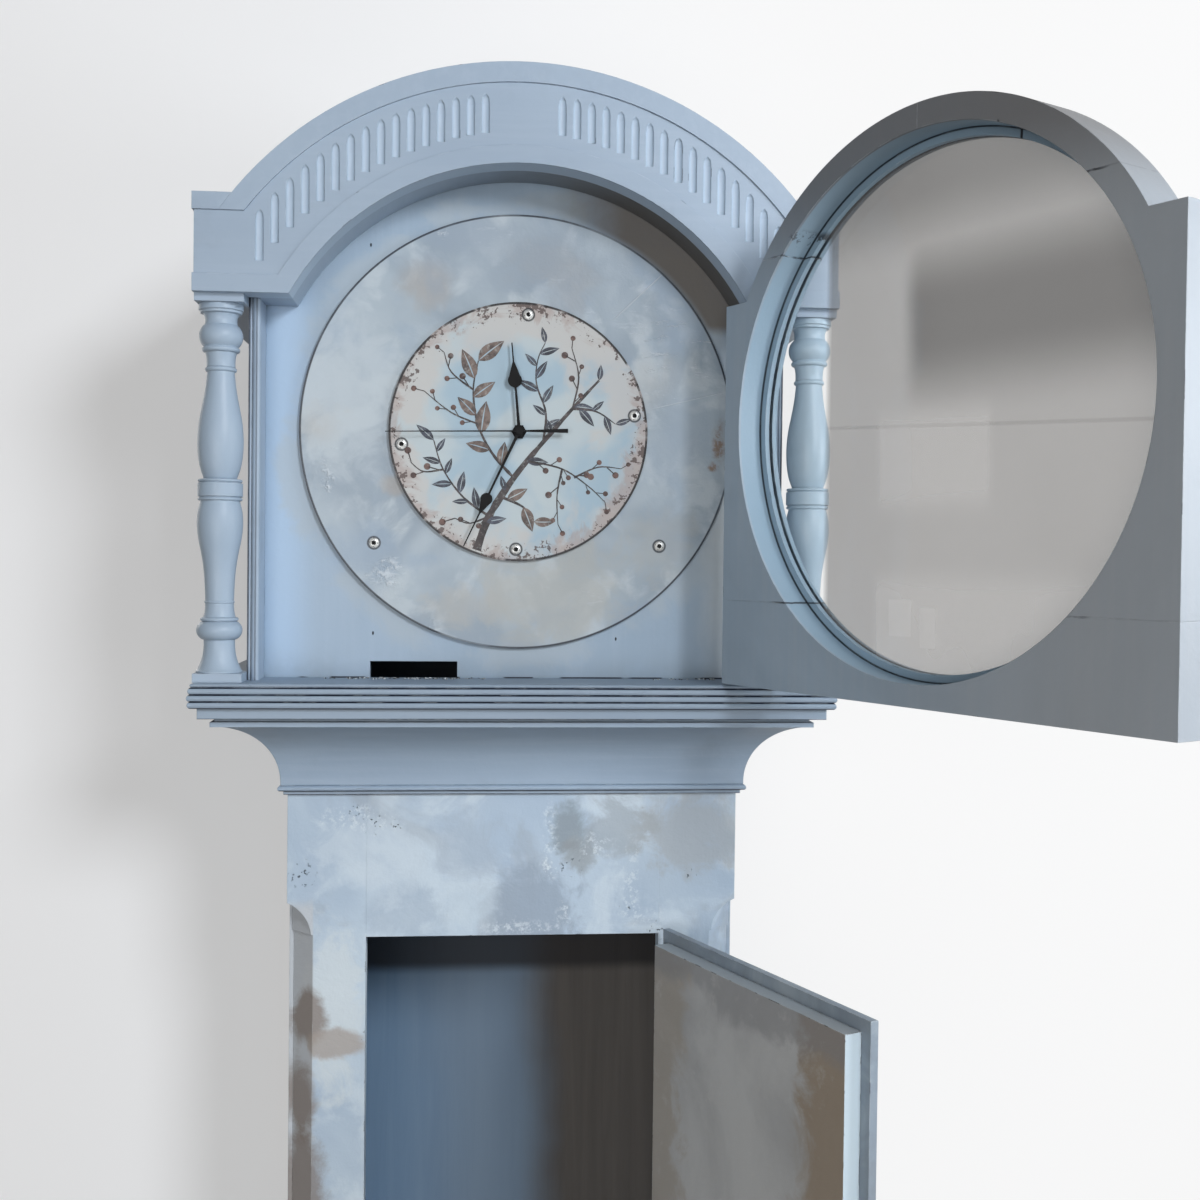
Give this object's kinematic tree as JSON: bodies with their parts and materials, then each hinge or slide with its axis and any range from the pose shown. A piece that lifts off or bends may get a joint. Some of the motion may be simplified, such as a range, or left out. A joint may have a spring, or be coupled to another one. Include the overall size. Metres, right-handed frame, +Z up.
{
  "type": "longcase clock",
  "caption": "Tall painted wooden case clock with an arched hood, fluted frieze, turned columns, glazed hood door, round dial, lipped trunk door, coved throat and box base.",
  "frame": {"origin": "centre of the footprint on the floor: midway between the base sides, on the floor plane, 125 mm in front of the back face", "axes": "+Z up, +Y towards the wall behind, +X to the viewer's right when facing the dial"},
  "size_m": [0.6543, 0.6334, 1.9854],
  "materials": {
    "hood_paint": "satin blue-grey paint",
    "trunk_paint": "aged chalky blue-grey paint",
    "dial_paint": "mottled aged paint",
    "disc_print": "aged printed pattern, matt",
    "bare_wood": "unpainted softwood",
    "brass": "dull",
    "lock_steel": "dull",
    "door_glass": "clear, slightly greyed",
    "black_hands": "satin black",
    "movement_plastic": "black"
  },
  "bodies": {
    "case": {"backboard": "bare_wood", "trunk_side_left": "trunk_paint", "trunk_side_right": "trunk_paint", "trunk_stile_left": "trunk_paint", "trunk_stile_right": "trunk_paint", "trunk_top_rail": "trunk_paint", "trunk_bottom_rail": "trunk_paint", "throat_moulding_front": "hood_paint", "throat_moulding_returns": "hood_paint", "hood_kickers": "bare_wood", "seatboard": "bare_wood", "waist_moulding_front": "trunk_paint", "waist_moulding_returns": "trunk_paint", "base_front": "trunk_paint", "base_side_left": "trunk_paint", "base_side_right": "trunk_paint", "base_floor": "bare_wood", "plinth_front": "trunk_paint", "plinth_returns": "trunk_paint", "glue_blocks": "bare_wood", "trunk_frame_hinge_leaves": "brass", "trunk_hinge_pins": "brass"},
    "hood": {"hood_base_front": "hood_paint", "hood_base_returns": "hood_paint", "hood_side_left": "hood_paint", "hood_side_right": "hood_paint", "arch_frieze": "hood_paint", "entablature_returns": "hood_paint", "hood_roof": "hood_paint", "arch_soffit": "hood_paint", "column_left": "hood_paint", "column_right": "hood_paint", "column_blocks": "hood_paint", "mask_board": "hood_paint", "dial_plate": "dial_paint", "centre_disc": "disc_print", "dial_screws": "lock_steel", "movement": "movement_plastic", "bush_nut": "brass"},
    "hood_door": {"door_arch_free": "hood_paint", "door_arch_hinge": "hood_paint", "door_stile_free": "hood_paint", "door_stile_hinge": "hood_paint", "door_bottom_rail": "hood_paint", "door_pivots": "brass", "door_glass": "door_glass", "glazing_bead": "hood_paint", "hood_door_knob": "brass"},
    "trunk_door": {"trunk_door_panel": "trunk_paint", "trunk_door_lipped_front": "trunk_paint", "trunk_door_hinge_leaves": "brass", "trunk_lock_case": "lock_steel", "trunk_escutcheon": "brass"},
    "lock_bolt": {"trunk_lock_bolt": "brass"},
    "key": {"trunk_key": "brass"},
    "hour_hand": {"hour_hand": "black_hands"},
    "minute_hand": {"minute_hand": "black_hands"},
    "seconds_hand": {"seconds_hand": "black_hands"},
    "setting_wheel": {"setting_wheel": "movement_plastic"}
  },
  "joints": [
    {"name": "hood_slide", "type": "slide", "parent": "case", "child": "hood", "axis": [0, -1, 0], "range_m": [0, 0.2]},
    {"name": "hood_door_hinge", "type": "hinge", "parent": "hood", "child": "hood_door", "pos_m": [0.1953, -0.1395, 1.65], "axis": [0, 0, 1], "range_deg": [-117.7, 20]},
    {"name": "trunk_door_hinge", "type": "hinge", "parent": "case", "child": "trunk_door", "pos_m": [0.1338, -0.091, 0.989], "axis": [0, 0, 1], "range_deg": [-114.3, 50]},
    {"name": "bolt_throw", "type": "slide", "parent": "trunk_door", "child": "lock_bolt", "axis": [0.4115, -0.9114, 0], "range_m": [0, 0.008]},
    {"name": "key_turn", "type": "hinge", "parent": "trunk_door", "child": "key", "pos_m": [0.2127, -0.30949, 0.989], "axis": [-0.9114, -0.4115, 0], "range_deg": [0, 95]},
    {"name": "minute_hand_turn", "type": "hinge", "parent": "hood", "child": "minute_hand", "pos_m": [0, -0.1, 1.6997], "axis": [0, 1, 0], "continuous": true},
    {"name": "hour_hand_turn", "type": "hinge", "parent": "hood", "child": "hour_hand", "pos_m": [0, -0.1, 1.6997], "axis": [0, 1, 0], "continuous": true},
    {"name": "seconds_hand_turn", "type": "hinge", "parent": "hood", "child": "seconds_hand", "pos_m": [0, -0.1, 1.6997], "axis": [0, 1, 0], "continuous": true},
    {"name": "setting_wheel_turn", "type": "hinge", "parent": "hood", "child": "setting_wheel", "pos_m": [0, -0.06, 1.6837], "axis": [0, 1, 0], "continuous": true}
  ],
  "couplings": [
    {"joint": "hour_hand_turn", "follows": "minute_hand_turn", "ratio": 0.083333},
    {"joint": "setting_wheel_turn", "follows": "minute_hand_turn", "ratio": -1},
    {"joint": "key_turn", "follows": "bolt_throw", "rad_per_m": 196.3}
  ]
}
